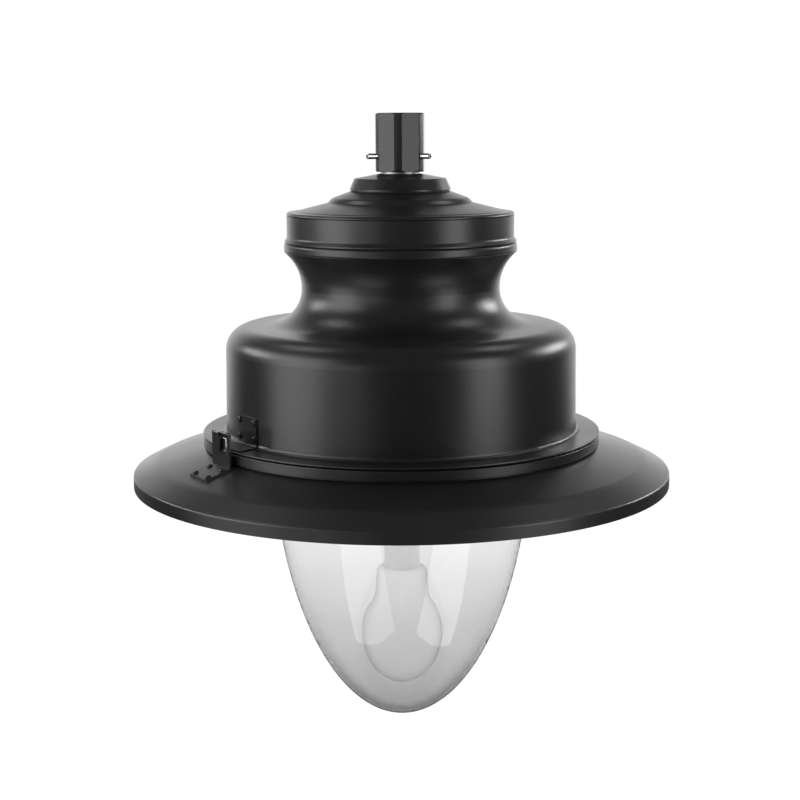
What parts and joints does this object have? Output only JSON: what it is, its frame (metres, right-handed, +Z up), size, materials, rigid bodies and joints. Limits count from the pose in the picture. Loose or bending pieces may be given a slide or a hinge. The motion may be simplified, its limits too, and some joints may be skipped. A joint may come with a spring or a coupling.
{
  "type": "garden light",
  "caption": "Black pendant lantern head with a stepped bell housing, wide brim and clear tapered bowl; canopy hinges down on a spring catch, pipe coupler on top.",
  "frame": {"origin": "centre of the mouth of the coupler's pipe bore, at the very top of the light", "axes": "+Z up along the bore and the light's turned axis; -Y is the front, as in the picture, with the catch at the front left"},
  "size_m": [0.581, 0.581, 0.6634],
  "materials": {
    "powder_black": "satin fine-grain powder coat",
    "rivet_black": "satin black, worn lightly on the crowns",
    "coupler_dark": "satin dark grey coat over machined steel",
    "plated_steel": "bright zinc plate",
    "washer_grey": "satin",
    "seal_rubber": "matt",
    "bowl_clear": "clear polished, very light grey tint",
    "lamp_glass": "soft coated glass",
    "arc_ceramic": "translucent white ceramic",
    "lamp_brass": "nickel-plated screw shell",
    "porcelain": "white glazed",
    "reflector_bright": "satin anodised",
    "ballast_lacquer": "lacquered laminations",
    "can_aluminium": "drawn can",
    "moulded_grey": "moulded"
  },
  "bodies": {
    "head": {"arc_tube": "arc_ceramic", "ballast": "ballast_lacquer", "cable_gland": "moulded_grey", "capacitor": "can_aluminium", "catch_bracket": "powder_black", "catch_bracket_rivets": "rivet_black", "catch_guide": "powder_black", "catch_spring": "plated_steel", "collar_gasket": "seal_rubber", "coupler_locknut": "coupler_dark", "coupler_washer": "washer_grey", "crown_ring": "powder_black", "flange_clip": "powder_black", "gear_screws": "plated_steel", "gear_tray": "plated_steel", "head_seal": "seal_rubber", "hinge_pin": "plated_steel", "hinge_upper_leaf": "powder_black", "hinge_upper_rivets": "rivet_black", "housing": "powder_black", "ignitor": "can_aluminium", "lamp_bulb": "lamp_glass", "lamp_cap": "lamp_brass", "lampholder": "porcelain", "lampholder_bracket": "plated_steel", "pipe_coupler": "coupler_dark", "reflector": "reflector_bright", "reflector_hangers": "plated_steel", "roof_cover": "powder_black", "terminal_block": "moulded_grey", "top_collar": "powder_black", "tray_screws": "plated_steel"},
    "canopy": {"canopy_ring": "powder_black", "canopy_brim": "powder_black", "bowl_carrier": "powder_black", "carrier_rivets": "rivet_black", "bowl": "bowl_clear", "bowl_gasket": "seal_rubber", "bowl_clamp_ring": "plated_steel", "bowl_screws": "plated_steel", "hasp_bracket": "powder_black", "hasp_rivets": "rivet_black", "hinge_lower_leaf": "powder_black", "hinge_lower_rivets": "rivet_black"},
    "catch": {"catch_lever": "powder_black", "catch_nose": "plated_steel"},
    "clamp_left": {"clamp_screw_left": "plated_steel"},
    "clamp_right": {"clamp_screw_right": "plated_steel"},
    "clamp_rear": {"clamp_screw_rear": "plated_steel"}
  },
  "joints": [
    {"name": "canopy_hinge", "type": "hinge", "parent": "head", "child": "canopy", "pos_m": [0.19261, 0.13287, -0.3539], "axis": [0.5678, -0.8231, 0], "range_deg": [0, 90]},
    {"name": "catch_press", "type": "slide", "parent": "head", "child": "catch", "axis": [0.8231, 0.5678, 0], "range_m": [0, 0.0015], "stiffness_N_per_m": 600, "springref_m": -0.002, "deforming": ["catch_spring"]},
    {"name": "clamp_left_turn_in", "type": "slide", "parent": "head", "child": "clamp_left", "axis": [0.9048, 0.4258, 0], "range_m": [0, 0.006]},
    {"name": "clamp_right_turn_in", "type": "slide", "parent": "head", "child": "clamp_right", "axis": [-0.8211, 0.5707, 0], "range_m": [0, 0.006]},
    {"name": "clamp_rear_turn_in", "type": "slide", "parent": "head", "child": "clamp_rear", "axis": [-0.0837, -0.9965, 0], "range_m": [0, 0.006]}
  ]
}
